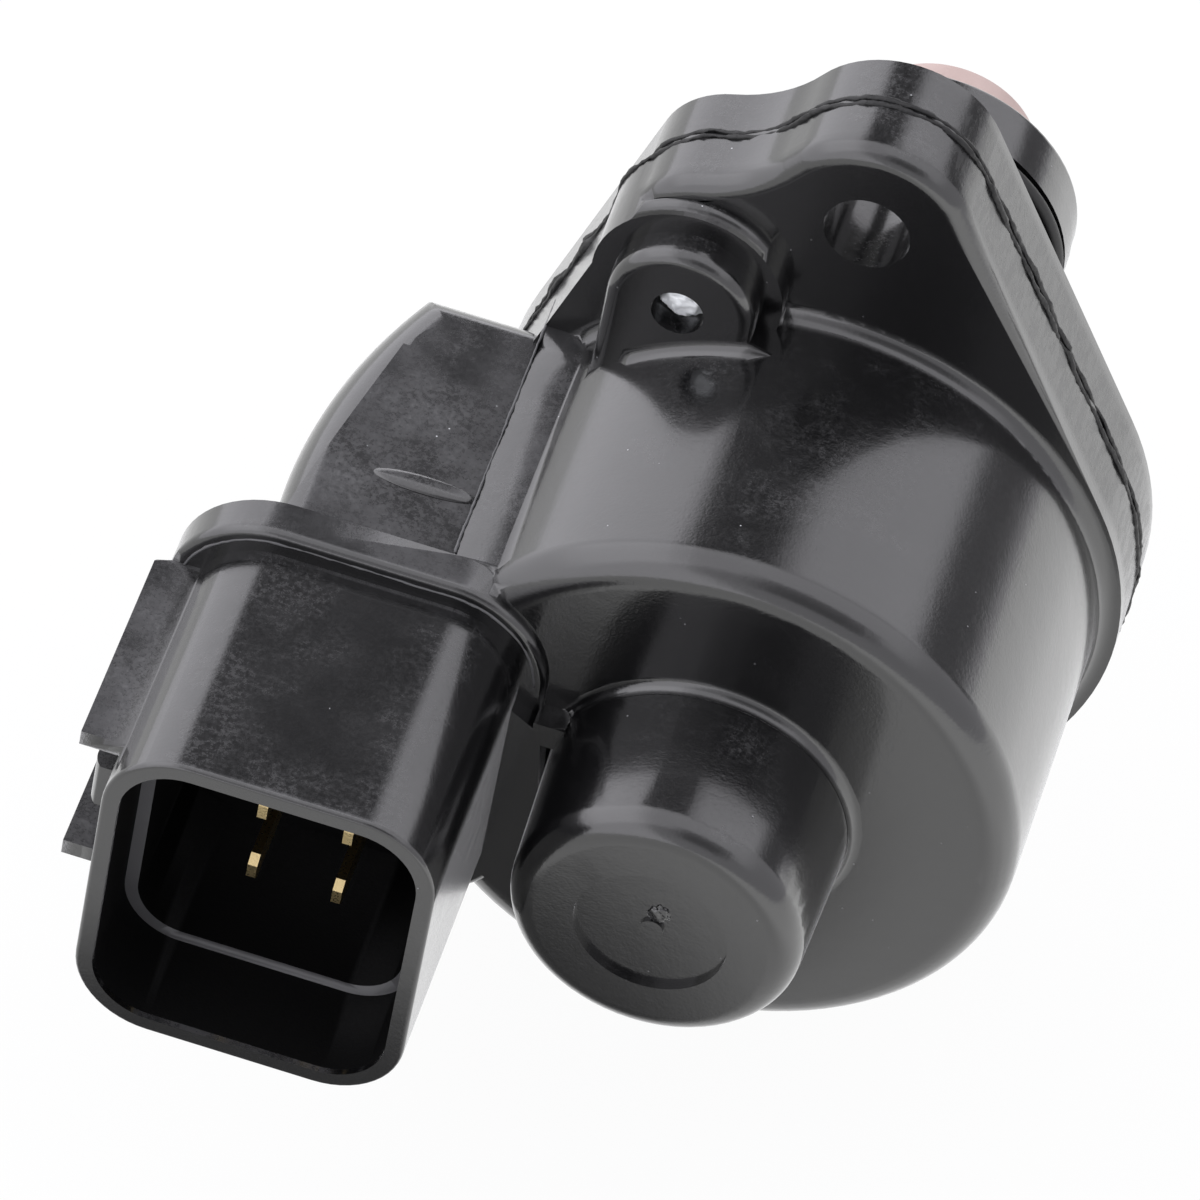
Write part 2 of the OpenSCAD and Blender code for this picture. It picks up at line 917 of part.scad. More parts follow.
module rotor_hub() {
    color("#e4e1d6")
        turned()
            difference() {
                union() {
                    band(hub_bore_r, hub_r, hub_y, hub_end_y);
                    band(hub_bore_r, journal_r, hub_front_y, hub_y + eps);
                    band(hub_bore_r, bearing_id / 2, hub_end_y - eps, hub_rear_y);
                    band(hub_bore_r, bearing_id / 2 + ring_wall / 2, hub_end_y - eps, bearing_y);
                }
                band(0, nut_od / 2, nut_y, nut_y + nut_len);
            }
}

module rotor_nut() {
    color("#b08d4a")
        turned()
            band(screw_r + run_gap, nut_od / 2, nut_y, nut_y + nut_len);
}

module shaft_section(gap) {
    half = screw_r - flat_depth + gap;
    intersection() {
        circle(screw_r + gap);
        square([4 * screw_r, 2 * half], center = true);
    }
}

module shaft_guide() {
    color("#e8e4da")
        slab(guide_y, guide_end_y)
            difference() {
                circle(nose_bore_r);
                shaft_section(run_gap);
            }
}

module shaft_seal() {
    color("#222224")
        turned()
            difference() {
                band(screw_r + run_gap, nose_bore_r, seal_y, washer_y);
                band(screw_r + 0.8, nose_bore_r - 1.6, seal_y - eps, washer_y - 0.9);
            }
}

module seal_washer() {
    color("#a9adb2")
        turned()
            band(screw_r + 0.3, nose_bore_r, washer_y, spring_y);
}

module lead_screw() {
    color("#b4b7bb") {
        turned() {
            band(0, screw_r, thread_y, flats_y);
            band(0, screw_r, flats_end_y, shaft_end_y);
        }
        slab(flats_y - eps, flats_end_y + eps)
            shaft_section(0);
    }
}

module pintle_head() {
    r = pintle_d / 2;
    skirt = 1.5;
    color("#d9b3a6")
        turned()
            difference() {
                union() {
                    band(0, r, pintle_y, pintle_end_y);
                    polygon([
                        [0, pintle_end_y - eps],
                        [r, pintle_end_y - eps],
                        [pintle_tip_d / 2, pintle_end_y + pintle_cone],
                        [0, pintle_end_y + pintle_cone]
                    ]);
                }
                band(0, screw_r, pintle_y - eps, shaft_end_y);
                band(spring_d / 2 - spring_wire, r - 0.7, pintle_y - eps, pintle_y + skirt);
            }
}

// Points of one ring of the spring wire at a share of its length
function spring_ring(t, y0, y1, sides) =
    let (
        angle = 360 * (spring_turns + 2) * t,
        radial = [cos(angle), 0, sin(angle)],
        r = spring_d / 2,
        rise = y1 - y0 - spring_wire,
        lift = max(0, min(1, (t * (spring_turns + 2) - 0.75) / (spring_turns + 0.5))),
        y = y0 + spring_wire / 2 + rise * lift
    )
    [for (k = [0:sides - 1])
        let (a = 360 * k / sides)
        r * radial + [0, y, 0] + spring_wire / 2 * (cos(a) * radial + sin(a) * [0, 1, 0])];

module pintle_spring() {
    sides = 8;
    rings = 20 * (spring_turns + 2);
    low = spring_y + ring_gap;
    high = pintle_y + 1.5 - ring_gap;
    points = [for (i = [0:rings]) each spring_ring(i / rings, low, high, sides)];
    walls = [for (i = [0:rings - 1], k = [0:sides - 1])
        let (n = (k + 1) % sides)
        [i * sides + k, i * sides + n, (i + 1) * sides + n, (i + 1) * sides + k]];
    start_cap = [for (k = [0:sides - 1]) sides - 1 - k];
    end_cap = [for (k = [0:sides - 1]) rings * sides + k];
    color("#9fa3a8")
        polyhedron(points, concat([start_cap], walls, [end_cap]));
}

motor_housing();
valve_cover();
cover_screw();
seal_ring();
stator_cup_front_outer();
stator_cup_front_inner();
stator_cup_rear_inner();
stator_cup_rear_outer();
coil_bobbin_front();
coil_bobbin_rear();
winding_front();
winding_rear();
terminal_1();
terminal_2();
terminal_3();
terminal_4();
terminal_5();
terminal_6();
front_bush();
bearing_outer_ring();
bearing_balls();
bearing_inner_ring();
rotor_magnet();
rotor_hub();
rotor_nut();
shaft_guide();
shaft_seal();
seal_washer();
lead_screw();
pintle_head();
pintle_spring();
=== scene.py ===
"""Looks of the idle air control valve: finishes, flash at its seams, light and camera."""
import math

import bmesh
import bpy
from bpy.props import FloatProperty, FloatVectorProperty, PointerProperty
from mathutils import Matrix, Vector, noise


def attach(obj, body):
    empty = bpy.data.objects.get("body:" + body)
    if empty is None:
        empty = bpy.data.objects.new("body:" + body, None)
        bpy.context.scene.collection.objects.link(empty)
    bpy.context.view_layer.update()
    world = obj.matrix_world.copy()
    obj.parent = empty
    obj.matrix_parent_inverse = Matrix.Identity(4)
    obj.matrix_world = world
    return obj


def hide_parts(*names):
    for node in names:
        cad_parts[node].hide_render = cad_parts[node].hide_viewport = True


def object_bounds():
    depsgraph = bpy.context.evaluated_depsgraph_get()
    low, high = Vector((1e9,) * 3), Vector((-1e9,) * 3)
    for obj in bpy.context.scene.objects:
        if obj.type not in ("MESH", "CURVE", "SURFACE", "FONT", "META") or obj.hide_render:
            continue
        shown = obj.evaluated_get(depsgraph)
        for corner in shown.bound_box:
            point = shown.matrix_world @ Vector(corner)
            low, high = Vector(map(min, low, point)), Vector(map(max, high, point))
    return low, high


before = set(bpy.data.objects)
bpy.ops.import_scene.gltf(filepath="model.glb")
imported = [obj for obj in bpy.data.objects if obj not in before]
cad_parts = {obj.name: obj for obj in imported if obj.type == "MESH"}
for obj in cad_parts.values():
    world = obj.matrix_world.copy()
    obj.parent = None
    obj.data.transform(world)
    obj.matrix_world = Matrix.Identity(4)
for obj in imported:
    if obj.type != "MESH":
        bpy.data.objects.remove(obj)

bl_info = {
    "name": "Idle air control valve",
    "version": (1, 0, 0),
    "blender": (4, 5, 0),
    "location": "View3D > Sidebar > Valve",
    "description": "Finishes, flash and studio of an idle air control valve",
    "category": "Object",
}

CAD_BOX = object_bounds()
MM = 0.001
BODY = "stator"

# Rounding: least corner that is rounded, and how far an edge may lie off its level
LEAST_CORNER = math.radians(50)
LEVEL_SLACK = 0.02 * MM

# Radius around the middle of a hole within which its edge stays sharp
BOLT_HOLE_CLEAR = 4 * MM
SCREW_HOLE_CLEAR = 2.5 * MM

# Depths in the socket, from its mouth: the ledge with its painted highlight, the start of the
# painted shade inside, and its end
LEDGE_DEPTH = 8 * MM
RIM_DEPTH = 0.5 * MM
SOCKET_DEPTH = 19.5 * MM
SOCKET_SQUARENESS = 5

# Swelling side of the neck: how far it reaches inwards, and its angles seen from above
NECK_INSIDE = 19 * MM
NECK_START = math.radians(14)
NECK_TURN = math.radians(52)
# Block that ends the neck: its front along the valve axis, its outermost place and its width
NECK_FRONT = -31.6 * MM
NECK_BLOCK = -36 * MM
NECK_WIDTH = 22 * MM

# Seed of the noise vectors, so that each run makes the same beads
NOISE_SEED = 7

# Weld bead: section of the housing in front of the seam that the front bead follows
HOUSING_SECTION = 0.6 * MM
# Place of each bead from the seam in millimetres, and the seed of its noise
WELD_BEADS = (("weld_bead_front", -0.3, 3.0), ("weld_bead_rear", 0.22, 11.0))
WELD_WANDER = 0.16 * MM
# Lumps of the weld bead in millimetres: x, z, how much they swell it, and their reach
WELD_LUMPS = ((-18.6, 16.8, 2.4, 0.7), (-20.3, 12.3, 1.6, 0.9), (-17.2, 21.0, 0.9, 0.6),
              (-15.0, 27.2, 0.8, 0.5), (-2.5, 37.5, 1.0, 0.8), (8.0, 31.0, 0.9, 0.5))

# Flash in millimetres: x and z of the joining rib, and where the flash runs along it
RIB_X, RIB_Z = -19.3, 13.15
RIB_STEPS = range(-31, -5)
# Round corners of the collar: their centres from the middle of the socket, and their radius
CORNER_ACROSS = 5.65 * MM
CORNER_UP = 7.35 * MM
CORNER_RADIUS = 6.5 * MM
FLASH_WANDER = 0.07 * MM

# Foot of the screw boss in millimetres and degrees around the valve axis
BODY_RADIUS = 21.0
FOOT_ROUND = 0.9
FOOT_INSIDE = 20.6
FOOT_OVERLAP = 0.2
FOOT_START, FOOT_TURN = -41.0, 31.0
# Share of the foot that is left at its ends, and how fast it grows from its start and its end
FOOT_END = 0.2
FOOT_GROWTH = (8, 5)

# Marks in millimetres: centre, half sizes, unevenness, and waves of the noise
MARKS = {
    "dome": ((-5.3, -14.7, 13.86), (6.2, 6.2, 6.2), 0, 0),
    "ridge": ((-22.9, -24.4, 11.32), (3.6, 0.85, 0.42), 0, 0),
    "gate_mark": ((0.3, -45.15, 1.5), (0.75, 0.3, 0.7), 0.34, 2.0),
}
SCREW_TIP = ((-10.3, -11.9, 22.35), (1.62, 0.85, 1.25), 0.25, 2.6)

# Where the looks of the plastic change, in millimetres: start and end of each change
BRANCH_X = (-14.0, -12.0)
SHROUD_X = (-36.0, -35.2)
FLANGE_SIDE_X = (1.0, 6.0)
# Squares of the distances from the valve axis, and the side's two ends along it with their blur
FLANGE_SIDE_FAR = (470.0, 490.0)
FLANGE_SIDE_Y = (-8.0, -0.6, 0.5)

# Floor, as glossy rays see it: edge of its painted shadow in units of the shadow's reach, and
# where a painted light makes it brighter to the right
PAINTED_SHADOW_EDGE = (0.5, 1.9)
PAINTED_LIGHT_RIGHT = (22.0, 90.0)
# Share of the floor's look that is its glow, for each kind of ray
GLOWS = {"Camera": 0.94, "Glossy": 0.97, "Transmission": 0.78}

# Panels of the tent: start and end in degrees around the valve axis, and the blur of the ends
PANELS = {
    "softbox": (-65.0, 55.0, 8.0),
    "lens_hole": (-2.0, 42.0, 8.0),
    "gap_left": (-31.0, 2.0, 4.0),
    "gap_right": (61.0, 86.0, 4.0),
    "right_card": (8.0, 60.0, 4.0),
    "left_side": (-104.0, -28.0, 9.0),
}
RIGHT_SIDE = (88.0, 96.0)
# Reach of the softbox and of the lens hole along the valve axis, and where the back starts
SOFTBOX_ALONG = (-0.57, 0.47, 0.08)
LENS_HOLE_ALONG = (-0.86, -0.38, 0.08)
BACK_STARTS = (0.48, 0.56)
TENT_TINT = (0.99, 0.98, 1.03)


def length(name, description, default):
    """A size in metres."""
    return FloatProperty(name=name, description=description, default=default,
                         min=0.0, unit="LENGTH", precision=5)


def position(name, description, default):
    """A place along an axis in metres, on either side of the origin."""
    return FloatProperty(name=name, description=description, default=default,
                         unit="LENGTH", precision=5)


def share(name, description, default):
    """A factor from none to all."""
    return FloatProperty(name=name, description=description, default=default,
                         min=0.0, max=1.0)


def strength(name, description, default):
    """How strongly a part of the tent shines."""
    return FloatProperty(name=name, description=description, default=default, min=0.0)


def numbers(name, description, default):
    """Numbers that belong together."""
    return FloatVectorProperty(name=name, description=description, default=default,
                               size=len(default), precision=5)


def colour(name, description, default):
    """A linear colour."""
    return FloatVectorProperty(name=name, description=description, default=default,
                               subtype="COLOR", size=3, min=0.0, max=1.0)


class ValveFinishes(bpy.types.PropertyGroup):
    """Colours and gloss of the valve's materials."""
    plastic: colour("Plastic", "Black plastic of both mouldings", (0.004, 0.004, 0.0043))
    plastic_gloss: share("Roughness", "Roughness of the plastic where it is clean", 0.19)
    # This grey is also the painted highlight on the ledge in the socket
    scuff_and_ledge_highlight: colour("Scuffs", "Grey of the fine scuffs on the upper faces", (0.09, 0.09, 0.093))
    scuffing: share("Scuffing", "How much the scuffs show", 0.4)
    haze: share("Haze", "How dull the level tops around the plug socket are", 0.62)
    strokes: share("Strokes", "How much the strokes on the flange's side show", 0.14)
    dust: colour("Dust", "Specks and smudges of dust", (0.55, 0.56, 0.58))
    zinc: colour("Zinc", "Bright plating of the cover screw", (0.62, 0.64, 0.66))
    brass: colour("Brass", "Bright plating of the blades", (0.84, 0.66, 0.34))
    resin: colour("Resin", "Resin of the pintle head", (0.52, 0.40, 0.37))
    rubber: colour("Rubber", "Rubber of the seals", (0.012, 0.012, 0.012))
    steel: colour("Steel", "Sheet steel of the stators", (0.42, 0.43, 0.44))
    bronze: colour("Bronze", "Bronze of the bush and the nut", (0.52, 0.36, 0.16))
    copper: colour("Copper", "Enamelled wire of the windings", (0.45, 0.15, 0.05))
    natural: colour("Natural plastic", "Bobbins, hub and guide", (0.72, 0.68, 0.58))
    ferrite: colour("Ferrite", "Plastic-bonded magnet", (0.04, 0.04, 0.042))


class ValveSizes(bpy.types.PropertyGroup):
    """Places on the valve, and sizes of what the scene adds to it."""
    seam: length("Seam", "Seam of the mouldings in front of the mounting face", 0.004)
    bead_radius: length("Bead", "Mean radius of the weld bead along the seam", 0.00019)
    bead_step: length("Bead step", "Distance between two points of a bead", 0.00035)
    flash_radius: length("Flash", "Mean radius of a line of mould flash", 0.00009)
    flange: length("Flange", "Front of the flange before the mounting face", 0.009)
    flange_round: length("Flange rounding", "Rounding of the flange's front edge", 0.0013)
    flange_clear: length("Flange clearance", "Radius within which it is not rounded", 0.0238)
    ear_height: length("Ears", "Bolt holes above and below the valve axis", 0.0299)
    screw_left: length("Screw to the left", "Cover screw left of the valve axis", 0.0105)
    screw_up: length("Screw above", "Cover screw above the valve axis", 0.0219)
    socket_left: length("Socket to the left", "Its middle left of the valve axis", 0.0242)
    socket_down: length("Socket below", "Its middle below the valve axis", 0.0015)
    socket_reach: numbers("Socket reach", "Half width and height to the middle of its wall",
                          (0.0105, 0.0122))
    screw_boss: length("Screw boss", "Its front before the mounting face", 0.013)
    screw_boss_round: length("Screw boss rounding", "Rounding of its rim", 0.0009)
    collar: length("Collar", "Its front before the mounting face", 0.034)
    collar_round: length("Collar rounding", "Rounding of its front edge", 0.0005)
    mouth: length("Mouth", "Mouth of the socket before the mounting face", 0.054)
    mouth_round: length("Mouth rounding", "Rounding of the edges of the mouth", 0.0003)
    neck_low: position("Neck bottom", "Bottom of the neck", -0.01435)
    neck_top: length("Neck top", "Top of the neck", 0.01138)
    neck_round: length("Neck rounding", "Rounding of its long edges", 0.0032)
    neck_curve: length("Neck curve", "Radius of its outer side, seen from above", 0.043)
    neck_side: position("Neck side", "Outermost place of the neck", -0.03185)
    neck_full: position("Neck middle", "Its fullest place along the valve axis", -0.0245)
    neck_back: position("Neck back", "Its back along the valve axis", -0.0064)


class StudioSettings(bpy.types.PropertyGroup):
    """Light, floor and camera."""
    lens: FloatProperty(name="Lens", description="Focal length of the camera in millimetres",
                        default=330.0, min=20.0, unit="CAMERA")
    camera_place: numbers("Camera place", "In millimetres", (46.10, -513.61, 529.74))
    camera_right: numbers("Camera right", "Right of the picture",
                          (0.9534658, 0.2645405, 0.1446421))
    camera_up: numbers("Camera up", "Top of the picture", (-0.2911721, 0.6834244, 0.6694400))
    floor_gap: length("Floor gap", "Gap between the valve and the floor", 0.0001)
    # Painted shadow in what the floor reflects
    painted_shadow_middle: numbers("Pool", "Dark pool in the floor's reflection, in millimetres",
                         (-22.0, -64.0))
    painted_shadow_reach: numbers("Pool reach", "Half sizes of the pool in millimetres", (26.0, 18.0))
    pool: share("Pool strength", "What the pool still reflects", 0.17)
    paper: share("Paper", "Tone of the floor in the shade", 0.84)
    tent: strength("Tent", "White surroundings", 0.95)
    side_boxes: strength("Side boxes", "What the side softboxes add", 0.9)
    softbox: strength("Softbox", "What the top softbox adds", 0.5)
    right_card: strength("Right card", "What the card at the right adds", 0.55)
    gap_left: share("Left gap", "What the left gap takes away", 0.85)
    gap_right: share("Right gap", "What the right gap takes away", 0.72)
    lens_hole: share("Lens hole", "What the hole for the lens takes away", 0.6)


class Wire:
    """An output of a material's node. Arithmetic on it adds Math nodes."""

    def __init__(self, finish, socket):
        self.finish = finish
        self.socket = socket

    def math(self, operation, *values):
        return self.finish.node("ShaderNodeMath", dict(enumerate(values)), operation=operation)

    def __add__(self, other):
        return self.math("ADD", self, other)

    def __radd__(self, other):
        return self.math("ADD", other, self)

    def __sub__(self, other):
        return self.math("SUBTRACT", self, other)

    def __rsub__(self, other):
        return self.math("SUBTRACT", other, self)

    def __mul__(self, other):
        return self.math("MULTIPLY", self, other)

    def __rmul__(self, other):
        return self.math("MULTIPLY", other, self)


class Finish:
    """A material or a world that is built up from nodes."""

    def __init__(self, owner):
        owner.use_nodes = True
        self.owner = owner
        self.tree = owner.node_tree
        self.tree.nodes.clear()

    def node(self, kind, sockets=None, output=0, **settings):
        """Adds a node: its settings first, then the values or links of its sockets."""
        node = self.tree.nodes.new(kind)
        for name, value in settings.items():
            setattr(node, name, value)
        for name, value in (sockets or {}).items():
            socket = node.inputs[name]
            if isinstance(value, Wire):
                self.tree.links.new(value.socket, socket)
            else:
                socket.default_value = value
        return Wire(self, node.outputs[output]) if node.outputs else None

    def soft(self, value, low, high):
        """0 below low and 1 above high, with a smooth rise between them."""
        return self.node("ShaderNodeMapRange", {"Value": value, "From Min": low, "From Max": high},
                         interpolation_type="SMOOTHSTEP")

    def lobe(self, value, low, high, blur):
        """1 from low to high, with soft ends."""
        ending = self.soft(value, high - blur, high + blur)
        return self.soft(value, low - blur, low + blur) * (1 - ending)

    def ray(self, kind):
        """1 for the rays of a kind, and 0 for all others."""
        return self.node("ShaderNodeLightPath", output=f"Is {kind} Ray")

    def place(self):
        """Position on the valve in millimetres."""
        raw = self.node("ShaderNodeTexCoord", output="Object")
        return self.node("ShaderNodeVectorMath", {0: raw, "Scale": 1 / MM}, operation="SCALE")

    def axes(self, vector):
        """The three parts of a vector."""
        parts = self.node("ShaderNodeSeparateXYZ", {0: vector})
        outputs = parts.socket.node.outputs
        return [Wire(self, outputs[i]) for i in range(3)]

    def stretched(self, vector, scale):
        """A vector scaled differently along each axis."""
        return self.node("ShaderNodeVectorMath", {0: vector, 1: scale}, operation="MULTIPLY")

    def speckle(self, vector, scale, detail=2.0, rough=0.5):
        """Noise from 0 to 1, with features of 1 / scale millimetres."""
        return self.node("ShaderNodeTexNoise", {"Vector": vector, "Scale": scale,
                                                "Detail": detail, "Roughness": rough})

    def mix(self, factor, first, second):
        """A colour between two colours."""
        return self.node("ShaderNodeMix", {0: factor, 6: first, 7: second},
                         output=2, data_type="RGBA")

    def bump(self, height, distance, strength=1.0):
        """A bumped normal from a height in units of the distance."""
        return self.node("ShaderNodeBump", {"Height": height, "Distance": distance,
                                            "Strength": strength})

    def surface(self, **sockets):
        """Ends the material with a Principled BSDF."""
        named = {key.replace("_", " ").title().replace("Ior", "IOR"): value
                 for key, value in sockets.items()}
        shader = self.node("ShaderNodeBsdfPrincipled", named)
        self.node("ShaderNodeOutputMaterial", {"Surface": shader})
        return self.owner


def new_finish(name):
    """An empty finish with a material of its own."""
    return Finish(bpy.data.materials.new(name))


def rgba(tone, gain=1.0):
    """A colour property as four numbers."""
    return [min(1.0, part * gain) for part in tone] + [1.0]


def socket_haze(made, x, y, level, cloud, grain, sizes):
    """The haze on the level tops around the plug socket, next to none on its shroud."""
    collar, mouth = -sizes.collar / MM, -sizes.mouth / MM
    branch = (1 - made.soft(x, *BRANCH_X)) * level
    shroud = (1 - made.soft(y, collar - 0.4, collar - 0.2)) * made.soft(x, *SHROUD_X)
    shroud = shroud * made.soft(y, mouth + 0.4, mouth + 0.6)
    uneven = (0.35 + made.soft(cloud, 0.32, 0.66) * 0.65) * (0.5 + grain * 0.8)
    return branch * (1 - shroud * 0.85) * uneven


def dust_specks(made, at):
    """Rare round specks of dust."""
    grains = made.node("ShaderNodeTexVoronoi", {"Vector": at, "Scale": 0.9, "Randomness": 1.0},
                       feature="F1")
    rare = made.speckle(at, 0.5, detail=1.0)
    return (1 - made.soft(grains, 0.03, 0.07)) * made.soft(rare, 0.60, 0.64)


def flange_side(made, x, y, z):
    """The right side of the flange, which fine strokes make dull."""
    outside = made.soft(x * x + z * z, *FLANGE_SIDE_FAR)
    return made.lobe(y, *FLANGE_SIDE_Y) * outside * made.soft(x, *FLANGE_SIDE_X)


def moulded_plastic(settings, sizes):
    """Glossy black plastic: mottled by glass fibres, dusty and scuffed on its upper faces."""
    made = new_finish("moulded_plastic")
    at = made.place()
    x, y, z = made.axes(at)
    up = made.axes(made.node("ShaderNodeTexCoord", output="Normal"))[2]
    upward = made.soft(up, 0.75, 0.98)
    fibres = made.speckle(at, 3.4, rough=0.65)
    grit = made.speckle(at, 6.0, detail=1.0)
    ripple = made.speckle(at, 0.55, detail=1.0)
    cloud = made.speckle(at, 0.16, rough=0.65)
    grain = made.speckle(at, 2.4, rough=0.9)
    patches = made.soft(made.speckle(at, 0.13, detail=3.0, rough=0.7), 0.38, 0.7)
    scuffed = made.soft(grain, 0.34, 0.78) * patches * upward
    hazed = socket_haze(made, x, y, made.soft(up, 0.95, 0.99), cloud, grain, sizes)
    speck = dust_specks(made, at)
    side = flange_side(made, x, y, z)
    strokes = made.speckle(made.stretched(at, (1.6, 0.35, 1.6)), 1.0, detail=3.0, rough=0.8)
    tone = made.mix(scuffed * settings.scuffing, rgba(settings.plastic), rgba(settings.scuff_and_ledge_highlight))
    tone = made.mix(hazed * settings.haze, tone, rgba(settings.scuff_and_ledge_highlight))
    tone = made.mix(speck * (0.3 + upward * 0.7), tone, rgba(settings.dust))
    tone = made.mix(side * made.soft(strokes, 0.5, 0.62) * settings.strokes,
                    tone, rgba(settings.scuff_and_ledge_highlight))
    rough = settings.plastic_gloss + (fibres - 0.5) * 0.16 + (cloud - 0.5) * 0.1 + speck * 0.4
    rough = rough + scuffed * 0.2 + hazed * 0.1
    rough = rough + side * made.soft(strokes, 0.42, 0.58) * 0.14
    return made.surface(base_color=tone, roughness=rough, ior=1.6,
                        normal=made.bump(fibres * 0.7 + grit * 0.5 + ripple, 0.00002, 0.75),
                        coat_weight=0.55 - side * 0.3, coat_roughness=0.11, coat_ior=1.7,
                        sheen_weight=0.6, sheen_roughness=0.16)


def painted_socket_shade(settings):
    """Painted shade for the inside of the socket: the plastic darkened and made dull, so that next
    to no light comes back.
    """
    made = new_finish("socket_painted_shade")
    at = made.place()
    grain = made.speckle(at, 5.0, detail=3.0)
    worn = made.soft(made.speckle(at, 0.4), 0.6, 0.72) * 0.15
    # The plastic at 0.4 of its tone is painted shade for the socket's inside
    tone = made.mix(worn, rgba(settings.plastic, 0.4), rgba(settings.plastic))
    return made.surface(base_color=tone, roughness=0.6 + grain * 0.2, specular_ior_level=0.12,
                        normal=made.bump(grain, 0.00002))


def plain_metal(name, tone, rough, grain, depth, metal=1.0):
    """Metal with a fine grain that varies its gloss."""
    made = new_finish(name)
    at = made.place()
    specks = made.speckle(at, grain, detail=4.0)
    worn = made.speckle(at, grain * 0.15, detail=2.0)
    base = made.mix(worn, rgba(tone, 0.8), rgba(tone, 1.12))
    return made.surface(base_color=base, metallic=metal, roughness=rough + (specks - 0.5) * 0.25,
                        normal=made.bump(specks, depth))


def plain_plastic(name, tone, rough, grain, depth):
    """Plastic, resin or rubber with a fine matt grain."""
    made = new_finish(name)
    at = made.place()
    specks = made.speckle(at, grain, detail=3.0)
    cloud = made.speckle(at, grain * 0.1, detail=2.0)
    base = made.mix(cloud, rgba(tone, 0.86), rgba(tone, 1.1))
    return made.surface(base_color=base, roughness=rough + (specks - 0.5) * 0.12,
                        normal=made.bump(specks, depth))


def wound_wire(tone):
    """Copper wire wound in even layers."""
    made = new_finish("wound_wire")
    at = made.place()
    turns = made.node("ShaderNodeTexWave", {"Vector": at, "Scale": 1.1, "Distortion": 0.3},
                      output=1, wave_type="BANDS", bands_direction="Y", wave_profile="SIN")
    base = made.mix(turns, rgba(tone, 0.35), rgba(tone, 1.2))
    return made.surface(base_color=base, metallic=0.8, roughness=0.25 + (1 - turns) * 0.3,
                        normal=made.bump(turns, 0.0001))


def dress(material, *nodes):
    """Gives CAD nodes a material."""
    for name in nodes:
        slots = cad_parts[name].data.materials
        slots.clear()
        slots.append(material)


def outline_at(node, y):
    """The outer loop of a CAD node's section across the valve axis, as points in order."""
    cut = bmesh.new()
    cut.from_mesh(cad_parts[node].data)
    bmesh.ops.remove_doubles(cut, verts=cut.verts, dist=0.01 * MM)
    found = bmesh.ops.bisect_plane(cut, geom=cut.verts[:] + cut.edges[:] + cut.faces[:],
                                   plane_co=(0, y, 0), plane_no=(0, 1, 0),
                                   clear_inner=True, clear_outer=True)
    start = max((v for v in found["geom_cut"] if isinstance(v, bmesh.types.BMVert)),
                key=lambda v: v.co.length)
    loop, seen = [start.co.copy()], {start}
    here = start
    while here:
        onward = [e.other_vert(here) for e in here.link_edges if e.other_vert(here) not in seen]
        here = onward[0] if onward else None
        if here:
            seen.add(here)
            loop.append(here.co.copy())
    cut.free()
    return loop


def evenly(points, step, closed):
    """Points at even steps along a line."""
    line = points + points[:1] if closed else points
    lengths = [(b - a).length for a, b in zip(line, line[1:])]
    count = max(2, round(sum(lengths) / step))
    wanted = [sum(lengths) * i / count for i in range(count if closed else count + 1)]
    result, done, k = [], 0.0, 0
    for want in wanted:
        while k < len(lengths) - 1 and done + lengths[k] < want:
            done += lengths[k]
            k += 1
        result.append(line[k].lerp(line[k + 1], (want - done) / max(lengths[k], 1e-9)))
    return result


def evaluated_mesh(piece):
    """A new mesh of an object as its curve and its modifiers make it."""
    graph = bpy.context.evaluated_depsgraph_get()
    return bpy.data.meshes.new_from_object(piece.evaluated_get(graph))


def bead(name, points, radius, wander, closed, seed, lumps=()):
    """A ragged bead along points: its thickness and its place vary, with lumps at some points.

    Each has a coarse and a fine wave of noise, with its waves counted per metre.
    """
    noise.seed_set(NOISE_SEED)
    curve = bpy.data.curves.new(name, "CURVE")
    curve.dimensions = "3D"
    curve.bevel_depth = 1.0
    curve.bevel_resolution = 2
    spline = curve.splines.new("POLY")
    spline.points.add(len(points) - 1)
    spline.use_cyclic_u = closed
    for knot, point in zip(spline.points, points):
        shift = noise.noise_vector(point * 500 + Vector((seed, 0, 0))) * wander
        shift += noise.noise_vector(point * 1900 + Vector((seed, 0, 9))) * wander * 0.35
        swell = 1 + 0.6 * noise.noise(point * 420 + Vector((0, seed, 0)))
        swell += 0.3 * noise.noise(point * 1500 + Vector((0, 0, seed)))
        for lump, size, reach in lumps:
            swell += size * math.exp(-((point - lump).length / reach) ** 2)
        knot.co = (*(point + shift), 1)
        knot.radius = radius * max(0.25, swell)
    rough = bpy.data.objects.new(name, curve)
    bpy.context.scene.collection.objects.link(rough)
    mesh = evaluated_mesh(rough)
    bpy.data.objects.remove(rough)
    work = bmesh.new()
    work.from_mesh(mesh)
    for vert in work.verts:
        ragged = noise.noise_vector(vert.co * 3300 + Vector((seed, seed, 0)))
        vert.co += ragged * radius * 0.45
    if not closed:
        bmesh.ops.holes_fill(work, edges=[e for e in work.edges if e.is_boundary])
    bmesh.ops.recalc_face_normals(work, faces=work.faces)
    for face in work.faces:
        face.smooth = True
    work.to_mesh(mesh)
    work.free()
    piece = bpy.data.objects.new(name, mesh)
    bpy.context.scene.collection.objects.link(piece)
    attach(piece, BODY)
    return piece


def arc(centre, radius, start, end, steps):
    """Points of an arc in a plane, with its angles in degrees."""
    turns = [math.radians(start + (end - start) * i / steps) for i in range(steps + 1)]
    return [(centre[0] + radius * math.cos(a), centre[1] + radius * math.sin(a)) for a in turns]


def round_bar(inner, outer, low, top, r):
    """Outline of a bar with two round corners at its outer end."""
    return [(inner, low), *arc((outer - r, low + r), r, -90, 0, 8),
            *arc((outer - r, top - r), r, 0, 90, 8), (inner, top)]


